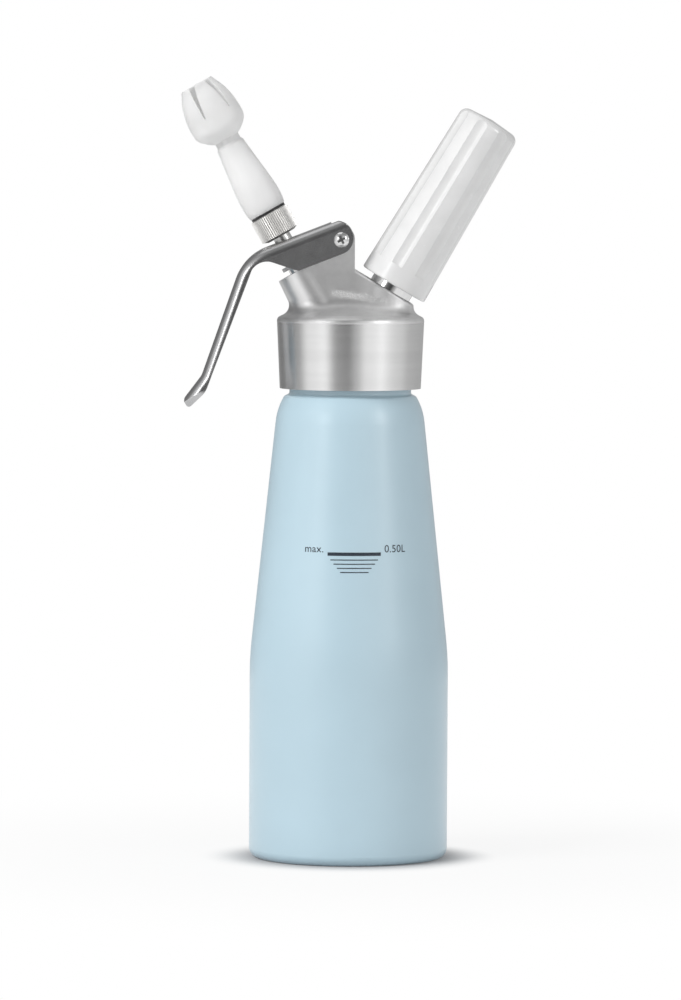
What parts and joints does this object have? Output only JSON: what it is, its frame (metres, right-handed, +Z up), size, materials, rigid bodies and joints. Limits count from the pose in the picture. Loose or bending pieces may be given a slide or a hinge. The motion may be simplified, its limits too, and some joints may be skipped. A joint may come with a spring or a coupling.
{
  "type": "whipped cream dispenser",
  "caption": "Cream siphon: lacquered bottle, screw-on cast head with squeeze lever, sprung outlet valve, petal nozzle and screw-on gas charger holder.",
  "frame": {"origin": "under the bottle's centre, on the surface it stands on", "axes": "+Z up along the bottle; the outlet and lever lean to -X, the charger holder leans to +X, and -Y is the side with the fill mark"},
  "size_m": [0.1311, 0.078, 0.3067],
  "materials": {
    "bottle_lacquer": "satin pale blue lacquer on spun aluminium",
    "cast_aluminium": "fine brushed on the skirt, satin cast above",
    "chrome": "polished chrome",
    "stainless": "turned stainless steel",
    "lever_steel": "satin stainless sheet",
    "polished_steel": "polished screw",
    "spring_steel": "drawn wire",
    "charger_steel": "zinc-plated steel",
    "silicone": "matte silicone",
    "black_rubber": "matte black rubber",
    "washer_plastic": "natural acetal",
    "nozzle_plastic": "satin white",
    "holder_plastic": "glossy white",
    "mark_ink": "dark slate screen print of the fill mark, on the bottle"
  },
  "bodies": {
    "bottle": {"bottle": "bottle_lacquer"},
    "head_seal": {"head_gasket": "silicone"},
    "head": {"head_casting": "cast_aluminium", "gland_nut": "chrome", "stem_seal": "black_rubber", "valve_spring": "spring_steel", "lever_pin": "polished_steel", "lever_pin_nut": "polished_steel", "lever_washers": "washer_plastic", "charger_port": "chrome", "port_seal": "black_rubber", "piercing_pin": "stainless", "charger_gasket": "black_rubber", "check_valve": "silicone", "check_valve_retainer": "stainless"},
    "lever": {"lever": "lever_steel"},
    "valve": {"valve_stem": "stainless", "valve_plunger": "stainless", "valve_seat_washer": "black_rubber", "valve_nut": "stainless", "valve_collar": "stainless", "nozzle_adapter": "stainless"},
    "nozzle_seal": {"nozzle_seal_ring": "black_rubber"},
    "nozzle": {"tulip_nozzle": "nozzle_plastic"},
    "charger": {"charger": "charger_steel"},
    "charger_holder": {"charger_holder": "holder_plastic"}
  },
  "joints": [
    {"name": "head_lift", "type": "slide", "parent": "bottle", "child": "head_seal", "axis": [0, 0, 1], "range_m": [0, 0.026]},
    {"name": "head_unscrew", "type": "hinge", "parent": "head_seal", "child": "head", "pos_m": [0, 0, 0.1975], "axis": [0, 0, 1], "range_deg": [0, 2345]},
    {"name": "lever_squeeze", "type": "hinge", "parent": "head", "child": "lever", "pos_m": [-0.0037, 0, 0.2431], "axis": [0, -1, 0], "range_deg": [0, 10], "stiffness_Nm_per_rad": 1.6, "springref_deg": -20.05},
    {"name": "valve_press", "type": "slide", "parent": "head", "child": "valve", "axis": [0.4962, 0, -0.8682], "range_m": [0, 0.003], "deforming": ["valve_spring"]},
    {"name": "nozzle_travel", "type": "slide", "parent": "valve", "child": "nozzle_seal", "axis": [-0.4962, 0, 0.8682], "range_m": [0, 0.009]},
    {"name": "nozzle_unscrew", "type": "hinge", "parent": "nozzle_seal", "child": "nozzle", "pos_m": [-0.0328, 0, 0.25399], "axis": [-0.4962, 0, 0.8682], "range_deg": [0, 2165]},
    {"name": "charger_travel", "type": "slide", "parent": "head", "child": "charger", "axis": [0.5105, 0, 0.8599], "range_m": [0, 0.01]},
    {"name": "holder_unscrew", "type": "hinge", "parent": "charger", "child": "charger_holder", "pos_m": [0.0167, 0, 0.22552], "axis": [0.5105, 0, 0.8599], "range_deg": [0, 1805]}
  ],
  "couplings": [
    {"joint": "head_unscrew", "follows": "head_lift", "rad_per_m": 1570.8},
    {"joint": "lever_squeeze", "follows": "valve_press", "rad_per_m": 58.14},
    {"joint": "nozzle_unscrew", "follows": "nozzle_travel", "rad_per_m": 4188.8},
    {"joint": "holder_unscrew", "follows": "charger_travel", "rad_per_m": 3141.6}
  ]
}
